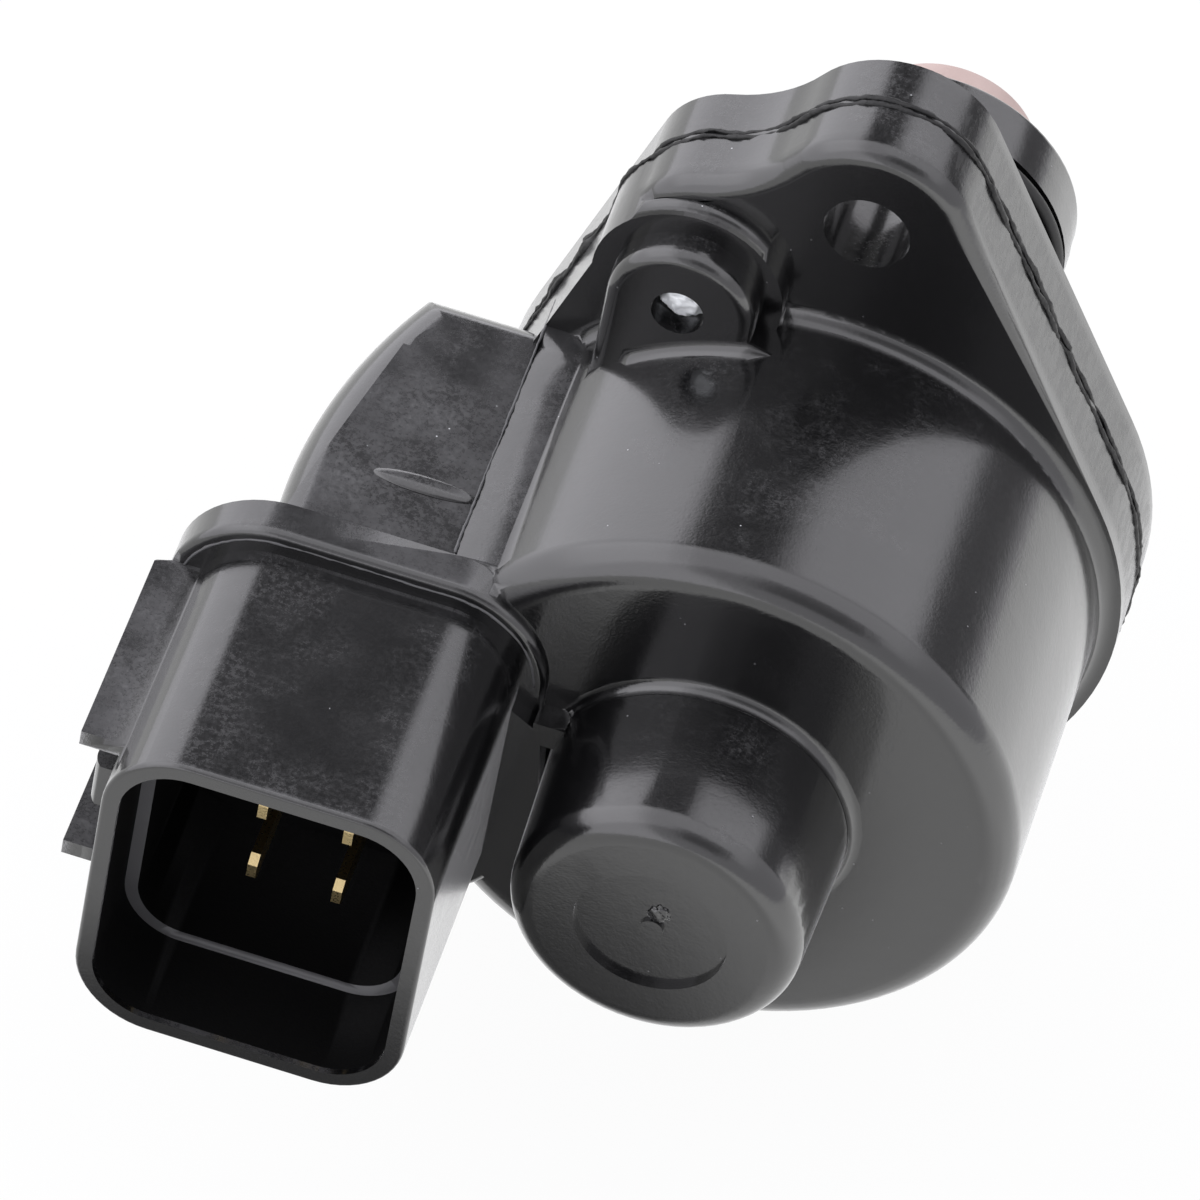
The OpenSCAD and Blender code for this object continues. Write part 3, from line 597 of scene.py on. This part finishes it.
def one_face(outline, put):
    """A bmesh with one face, whose flat points are put in space by a function."""
    work = bmesh.new()
    work.faces.new([work.verts.new(put(a, b)) for a, b in outline])
    return work


def as_object(work, name):
    """Ends a bmesh as an object."""
    mesh = bpy.data.meshes.new(name)
    work.to_mesh(mesh)
    work.free()
    made = bpy.data.objects.new(name, mesh)
    bpy.context.scene.collection.objects.link(made)
    return made


def merged_copy(node):
    """A CAD node's mesh with its triangles joined and its flat faces whole."""
    work = bmesh.new()
    work.from_mesh(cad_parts[node].data)
    bmesh.ops.remove_doubles(work, verts=work.verts, dist=0.002 * MM)
    bmesh.ops.dissolve_limit(work, angle_limit=math.radians(0.6),
                             verts=work.verts, edges=work.edges)
    return work


def faces_away(edge, centre):
    """Whether the side face at an edge looks away from an axis through a centre of x and z."""
    middle = (edge.verts[0].co + edge.verts[1].co) / 2
    out = Vector((middle.x - centre[0], 0, middle.z - centre[1]))
    return any(abs(face.normal.y) < 0.3 and face.normal.dot(out) > 0
               for face in edge.link_faces)


def ease(work, level, radius, steps, centre, sharp=()):
    """Rounds the outer edges at a level across the valve axis.

    Within the discs in sharp, each with its x, z and radius, the edges stay as they are.
    """
    for shift in (-1.5 * radius, 1.5 * radius):
        bmesh.ops.bisect_plane(work, geom=work.verts[:] + work.edges[:] + work.faces[:],
                               plane_co=(0, level + shift, 0), plane_no=(0, 1, 0))

    def taken(point):
        clear = all(math.hypot(point.x - x, point.z - z) > r for x, z, r in sharp)
        return clear and abs(point.y - level) < LEVEL_SLACK

    picked = [edge for edge in work.edges
              if edge.is_manifold and edge.is_convex and edge.calc_face_angle(0) > LEAST_CORNER
              and all(taken(vert.co) for vert in edge.verts) and faces_away(edge, centre)]
    bmesh.ops.bevel(work, geom=picked, offset=radius, offset_type="OFFSET", segments=steps,
                    profile=0.5, affect="EDGES", clamp_overlap=False, material=-1)


def overlap(base, other):
    """Cuts an object down to what it shares with another one, which is then gone."""
    step = base.modifiers.new("overlap", "BOOLEAN")
    step.operation = "INTERSECT"
    step.solver = "EXACT"
    step.object = other
    bpy.context.view_layer.update()
    mesh = evaluated_mesh(base)
    base.modifiers.remove(step)
    base.data = mesh
    bpy.data.objects.remove(other)
    return base


def smooth_faces(piece, angle):
    """Smooth shading with edges that stay sharp past an angle, and flat faces kept flat."""
    piece.data.shade_smooth()
    piece.data.set_sharp_from_angle(angle=math.radians(angle))
    step = piece.modifiers.new("even_normals", "WEIGHTED_NORMAL")
    step.keep_sharp = True
    step.weight = 80


class VALVE_OT_mouldings(bpy.types.Operator):
    """Eases the edges of the front moulding, and gives both mouldings their plastic, with painted
    shade and a painted highlight in the socket
    """
    bl_idname = "valve.mouldings"
    bl_label = "Mouldings"

    def execute(self, context):
        tones, sizes = context.scene.valve_finishes, context.scene.valve_sizes
        made = moulded_plastic(tones, sizes)
        dress(made, "valve_cover")
        skin = self.skin(sizes)
        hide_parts("motor_housing")
        for piece in (skin, self.neck(sizes)):
            piece.data.materials.append(made)
            smooth_faces(piece, 32.0)
            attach(piece, BODY)
        # The inside of the socket gets a darker, duller copy of the plastic as painted shade
        skin.data.materials.append(painted_socket_shade(tones))
        # The ledge in the socket gets this lighter grey as a painted highlight
        skin.data.materials.append(plain_plastic("ledge_painted_highlight", tones.scuff_and_ledge_highlight, 0.45, 5.0, 0.00001))
        return {"FINISHED"}

    def skin(self, sizes):
        """The housing with round edges, with painted shade inside the socket and a painted
        highlight on its ledge, as materials chosen by face.
        """
        work = merged_copy("motor_housing")
        keep = [(0, side * sizes.ear_height, BOLT_HOLE_CLEAR) for side in (-1, 1)]
        keep.append((0, 0, sizes.flange_clear))
        screw = (-sizes.screw_left, sizes.screw_up)
        socket = (-sizes.socket_left, -sizes.socket_down)
        ease(work, -sizes.flange, sizes.flange_round, 5, (0, 0), keep)
        ease(work, -sizes.screw_boss, sizes.screw_boss_round, 4, screw,
             [(*screw, SCREW_HOLE_CLEAR)])
        ease(work, -sizes.collar, sizes.collar_round, 3, socket)
        ease(work, -sizes.mouth, sizes.mouth_round, 3, socket)
        for face in work.faces:
            face.material_index = self.socket_painted_index(face, sizes)
        return as_object(work, "housing_skin")

    def socket_painted_index(self, face, sizes):
        """2 for the ledge in the socket, which gets a painted highlight, 1 for the rest of its
        inside, which gets painted shade, and 0 for any other face.
        """
        centre = face.calc_center_median()
        across = abs(centre.x + sizes.socket_left) / sizes.socket_reach[0]
        up = abs(centre.z + sizes.socket_down) / sizes.socket_reach[1]
        on_ledge = face.normal.y < -0.9 and centre.y < -sizes.mouth + LEDGE_DEPTH
        deep = -sizes.mouth + RIM_DEPTH < centre.y < -sizes.mouth + SOCKET_DEPTH
        inside = across ** SOCKET_SQUARENESS + up ** SOCKET_SQUARENESS < 1 and deep
        return (2 if on_ledge else 1) if inside else 0

    def neck(self, sizes):
        """The swelling outer side of the neck, round along its long edges."""
        low, top, r = sizes.neck_low, sizes.neck_top, sizes.neck_round
        wide = sizes.neck_curve
        pivot = Vector((sizes.neck_side + wide, sizes.neck_full, 0))
        swing = Matrix.Rotation(NECK_START, 3, "Z")
        work = one_face(round_bar(wide - NECK_INSIDE, wide, low, top, r),
                        lambda a, b: pivot + swing @ Vector((-a, 0, b)))
        bmesh.ops.spin(work, geom=work.faces[:], cent=pivot, axis=(0, 0, -1),
                       angle=NECK_TURN, steps=40)
        bmesh.ops.recalc_face_normals(work, faces=work.faces)
        side = as_object(work, "neck_side")
        work = one_face(round_bar(NECK_FRONT, sizes.neck_back, low, top, r),
                        lambda a, b: Vector((NECK_BLOCK, a, b)))
        moved = bmesh.ops.extrude_face_region(work, geom=work.faces[:])["geom"]
        bmesh.ops.translate(work, vec=(NECK_WIDTH, 0, 0),
                            verts=[v for v in moved if isinstance(v, bmesh.types.BMVert)])
        bmesh.ops.recalc_face_normals(work, faces=work.faces)
        return overlap(side, as_object(work, "neck_length"))


class VALVE_OT_weld(bpy.types.Operator):
    """Adds the ragged weld bead along the seam of the flange"""
    bl_idname = "valve.weld"
    bl_label = "Weld bead"

    def execute(self, context):
        sizes = context.scene.valve_sizes
        sections = (("motor_housing", -sizes.seam - HOUSING_SECTION),
                    ("valve_cover", -sizes.seam / 2))
        sides = [evenly(outline_at(node, y), sizes.bead_step, True) for node, y in sections]
        tone = context.scene.valve_finishes.plastic
        made = plain_plastic("weld_plastic", tone, 0.42, 4.0, 0.00006)
        lumps = [(Vector((x * MM, -sizes.seam, z * MM)), size, reach * MM)
                 for x, z, size, reach in WELD_LUMPS]
        for (name, shift, seed), points in zip(WELD_BEADS, sides):
            line = [Vector((p.x, -sizes.seam + shift * MM, p.z)) for p in points]
            piece = bead(name, line, sizes.bead_radius, WELD_WANDER, True, seed, lumps)
            piece.data.materials.append(made)
        return {"FINISHED"}


class VALVE_OT_flash(bpy.types.Operator):
    """Adds the thin mould flash along the rib and the collar"""
    bl_idname = "valve.flash"
    bl_label = "Mould flash"

    def execute(self, context):
        sizes = context.scene.valve_sizes
        tone = context.scene.valve_finishes.scuff_and_ledge_highlight
        made = plain_plastic("flash_plastic", tone, 0.35, 4.0, 0.00004)
        rib = [Vector((RIB_X, y, RIB_Z)) * MM for y in RIB_STEPS]
        left, right = -sizes.socket_left - CORNER_ACROSS, -sizes.socket_left + CORNER_ACROSS
        high = -sizes.socket_down + CORNER_UP
        rim = arc((left, high), CORNER_RADIUS, 165, 90, 12)
        rim += arc((right, high), CORNER_RADIUS, 90, 5, 12)
        collar = [Vector((a, -sizes.collar, b)) for a, b in rim]
        for name, points, seed in (("rib_flash", rib, 5.0), ("collar_flash", collar, 8.0)):
            line = evenly(points, sizes.bead_step, False)
            piece = bead(name, line, sizes.flash_radius, FLASH_WANDER, False, seed)
            piece.data.materials.append(made)
        return {"FINISHED"}


class VALVE_OT_moulded_marks(bpy.types.Operator):
    """Adds the foot of the screw boss, the dome, the ridge, the gate mark and the screw's tip,
    whose zinc is lightened as a painted glint
    """
    bl_idname = "valve.moulded_marks"
    bl_label = "Moulded marks"

    def execute(self, context):
        tones, sizes = context.scene.valve_finishes, context.scene.valve_sizes
        plastic = bpy.data.materials["moulded_plastic"]
        # The screw's tip gets the zinc lightened and made mostly diffuse, a painted glint
        painted_glint = plain_metal("zinc_painted_glint", rgba(tones.zinc, 1.4)[:3], 0.42, 2.5, 0.00006, 0.3)
        moulded = [self.foot(sizes), *[self.blob(name, *form) for name, form in MARKS.items()]]
        pieces = [(piece, plastic, "housing_plastic") for piece in moulded]
        pieces.append((self.blob("screw_tip", *SCREW_TIP), painted_glint, "zinc"))
        for piece, material, slot in pieces:
            piece.data.materials.append(material)
            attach(piece, BODY)
        return {"FINISHED"}

    def foot(self, sizes):
        """The concave foot where the face of the screw boss meets the round body."""
        face, r, top = -sizes.screw_boss / MM, FOOT_ROUND, BODY_RADIUS + FOOT_ROUND
        outline = [(face + FOOT_OVERLAP, FOOT_INSIDE), (face + FOOT_OVERLAP, top),
                   *arc((face - r, top), r, 0, -90, 8), (face - r, FOOT_INSIDE)]
        first = math.radians(FOOT_START)
        work = one_face(outline, lambda a, b: Vector((b * math.sin(first), a,
                                                      b * math.cos(first))) * MM)
        bmesh.ops.spin(work, geom=work.faces[:], cent=(0, 0, 0), axis=(0, 1, 0),
                       angle=math.radians(FOOT_TURN), steps=30)
        for vert in work.verts:
            turned = math.degrees(math.atan2(vert.co.x, vert.co.z))
            done = (turned - FOOT_START) / FOOT_TURN
            keep = min(1.0, FOOT_END + FOOT_GROWTH[0] * done,
                       FOOT_END + FOOT_GROWTH[1] * (1 - done))
            out = Vector((vert.co.x, 0, vert.co.z))
            vert.co += out.normalized() * (FOOT_INSIDE * MM - out.length) * (1 - keep)
        bmesh.ops.recalc_face_normals(work, faces=work.faces)
        made = as_object(work, "screw_boss_foot")
        smooth_faces(made, 40.0)
        return made

    def blob(self, name, centre, half, rough, scale):
        """A round mark of given half sizes, made uneven by noise."""
        work = bmesh.new()
        bmesh.ops.create_icosphere(work, subdivisions=4, radius=1.0)
        for vert in work.verts:
            swell = 1 + rough * noise.noise(vert.co * scale)
            swell += 0.5 * rough * noise.noise(vert.co * scale * 3)
            vert.co = Vector([(c + h * v * swell) * MM for c, h, v in zip(centre, half, vert.co)])
        made = as_object(work, name)
        made.data.shade_smooth()
        return made


class VALVE_OT_metals(bpy.types.Operator):
    """Gives the screw and the blades their plating"""
    bl_idname = "valve.metals"
    bl_label = "Metal pieces"

    def execute(self, context):
        tones = context.scene.valve_finishes
        dress(plain_metal("zinc_plating", tones.zinc, 0.28, 5.0, 0.00003), "cover_screw")
        dress(plain_metal("brass_plating", tones.brass, 0.3, 6.0, 0.00001),
              *[f"terminal_{n}" for n in range(1, 7)])
        return {"FINISHED"}


class VALVE_OT_nose(bpy.types.Operator):
    """Gives the pintle its resin and the seal ring its rubber"""
    bl_idname = "valve.nose"
    bl_label = "Pintle and seal"

    def execute(self, context):
        tones = context.scene.valve_finishes
        dress(plain_plastic("pintle_resin", tones.resin, 0.45, 4.0, 0.00001), "pintle_head")
        dress(plain_plastic("seal_rubber", tones.rubber, 0.5, 6.0, 0.00001),
              "seal_ring", "shaft_seal")
        return {"FINISHED"}


class VALVE_OT_motor(bpy.types.Operator):
    """Gives the hidden pieces of the stepper motor their finishes"""
    bl_idname = "valve.motor"
    bl_label = "Motor pieces"

    def execute(self, context):
        tones = context.scene.valve_finishes
        dress(plain_metal("sheet_steel", tones.steel, 0.35, 3.0, 0.00001),
              "stator_cup_front_outer", "stator_cup_front_inner",
              "stator_cup_rear_inner", "stator_cup_rear_outer")
        dress(plain_metal("ground_steel", rgba(tones.steel, 1.6)[:3], 0.15, 8.0, 0.000004),
              "bearing_outer_ring", "bearing_balls", "bearing_inner_ring",
              "seal_washer", "lead_screw", "pintle_spring")
        dress(plain_metal("sintered_bronze", tones.bronze, 0.4, 5.0, 0.00002),
              "front_bush", "rotor_nut")
        dress(plain_plastic("natural_plastic", tones.natural, 0.4, 3.0, 0.00001),
              "coil_bobbin_front", "coil_bobbin_rear", "rotor_hub", "shaft_guide")
        dress(plain_plastic("bonded_ferrite", tones.ferrite, 0.5, 5.0, 0.00002), "rotor_magnet")
        dress(wound_wire(tones.copper), "winding_front", "winding_rear")
        return {"FINISHED"}


class VALVE_OT_studio(bpy.types.Operator):
    """Adds the floor, the white tent with its softbox, and the camera"""
    bl_idname = "valve.studio"
    bl_label = "Studio"

    def execute(self, context):
        settings = context.scene.valve_studio
        self.floor(settings)
        self.tent(settings)
        self.camera(settings)
        context.scene.view_settings.view_transform = "Standard"
        return {"FINISHED"}

    def floor(self, settings):
        """The white floor: it keeps the shadow, and what it reflects has a painted shadow and a
        painted light to the right.
        """
        work = bmesh.new()
        bmesh.ops.create_grid(work, x_segments=1, y_segments=1, size=3.0)
        floor = as_object(work, "floor")
        floor.location.z = CAD_BOX[0][2] - settings.floor_gap
        made = new_finish("floor")
        rays = {kind: made.ray(kind) for kind in GLOWS}
        x, y = made.axes(made.place())[:2]
        across = (x - settings.painted_shadow_middle[0]) * (1 / settings.painted_shadow_reach[0])
        along = (y - settings.painted_shadow_middle[1]) * (1 / settings.painted_shadow_reach[1])
        far = made.soft(across * across + along * along, *PAINTED_SHADOW_EDGE)
        # What glossy rays see of the floor: a painted shadow around its middle, and a painted
        # light to the right
        card = settings.pool + far * 0.85 + made.soft(x, *PAINTED_LIGHT_RIGHT) * 0.55
        tone = settings.paper
        paper = made.node("ShaderNodeBsdfDiffuse", {"Color": (tone, tone, tone, 1.0)})
        shown = rays["Glossy"] * card + (1 - rays["Glossy"])
        glow = made.node("ShaderNodeEmission", {"Color": shown, "Strength": 1.0})
        shining = sum(rays[kind] * part for kind, part in GLOWS.items())
        both = made.node("ShaderNodeMixShader", {0: shining, 1: paper, 2: glow})
        made.node("ShaderNodeOutputMaterial", {"Surface": both})
        floor.data.materials.append(made.owner)

    def tent(self, settings):
        """The white tent around the valve: softboxes and a card in it, with gaps between them."""
        world = bpy.data.worlds.new("tent")
        bpy.context.scene.world = world
        made = Finish(world)
        x, y, z = made.axes(made.node("ShaderNodeTexCoord", output="Generated"))
        around = x.math("ARCTAN2", x, z) * math.degrees(1.0)
        panels = {name: made.lobe(around, *ends) for name, ends in PANELS.items()}
        back = made.soft(y, *BACK_STARTS)
        softbox = panels["softbox"] * made.lobe(y, *SOFTBOX_ALONG)
        lens_hole = panels["lens_hole"] * made.lobe(y, *LENS_HOLE_ALONG)
        sides = panels["left_side"] + made.soft(around, *RIGHT_SIDE)
        light = settings.tent + softbox * settings.softbox + sides * settings.side_boxes
        light = light + panels["right_card"] * back * settings.right_card
        light = light * (1 - panels["gap_left"] * back * settings.gap_left)
        light = light * (1 - panels["gap_right"] * back * settings.gap_right)
        light = light * (1 - lens_hole * settings.lens_hole)
        tinted = made.node("ShaderNodeVectorMath", {0: TENT_TINT, "Scale": light},
                           operation="SCALE")
        lit = made.node("ShaderNodeBackground", {"Color": tinted, "Strength": 1.0})
        white = made.node("ShaderNodeBackground", {"Color": (1.0, 1.0, 1.0, 1.0),
                                                   "Strength": 1.0})
        both = made.node("ShaderNodeMixShader", {0: made.ray("Camera"), 1: lit, 2: white})
        made.node("ShaderNodeOutputWorld", {"Surface": both})

    def camera(self, settings):
        """The camera, where the photograph was taken from."""
        data = bpy.data.cameras.new("camera")
        data.lens = settings.lens
        data.sensor_width = 36.0
        data.clip_end = 10.0
        camera = bpy.data.objects.new("camera", data)
        bpy.context.scene.collection.objects.link(camera)
        right, up = Vector(settings.camera_right), Vector(settings.camera_up)
        turn = Matrix((right, up, right.cross(up))).transposed().to_4x4()
        place = Vector(settings.camera_place) * MM
        camera.matrix_world = Matrix.Translation(place) @ turn
        bpy.context.scene.camera = camera


class VALVE_PT_panel(bpy.types.Panel):
    """Lists the steps that dress the valve"""
    bl_label = "Idle air control valve"
    bl_idname = "VALVE_PT_panel"
    bl_space_type = "VIEW_3D"
    bl_region_type = "UI"
    bl_category = "Valve"

    def draw(self, context):
        for step in STEPS:
            self.layout.operator(step.bl_idname)


STEPS = (VALVE_OT_studio, VALVE_OT_mouldings, VALVE_OT_weld, VALVE_OT_flash, VALVE_OT_metals,
         VALVE_OT_moulded_marks, VALVE_OT_nose, VALVE_OT_motor)
GROUPS = {
    "valve_finishes": ValveFinishes,
    "valve_sizes": ValveSizes,
    "valve_studio": StudioSettings,
}


def register():
    for group in GROUPS.values():
        bpy.utils.register_class(group)
    for name, group in GROUPS.items():
        setattr(bpy.types.Scene, name, PointerProperty(type=group))
    for step in (*STEPS, VALVE_PT_panel):
        bpy.utils.register_class(step)


def unregister():
    for step in (VALVE_PT_panel, *reversed(STEPS)):
        bpy.utils.unregister_class(step)
    for name, group in GROUPS.items():
        delattr(bpy.types.Scene, name)
        bpy.utils.unregister_class(group)


def main():
    register()
    for step in STEPS:
        family, action = step.bl_idname.split(".")
        getattr(getattr(bpy.ops, family), action)()


if __name__ == "__main__":
    main()
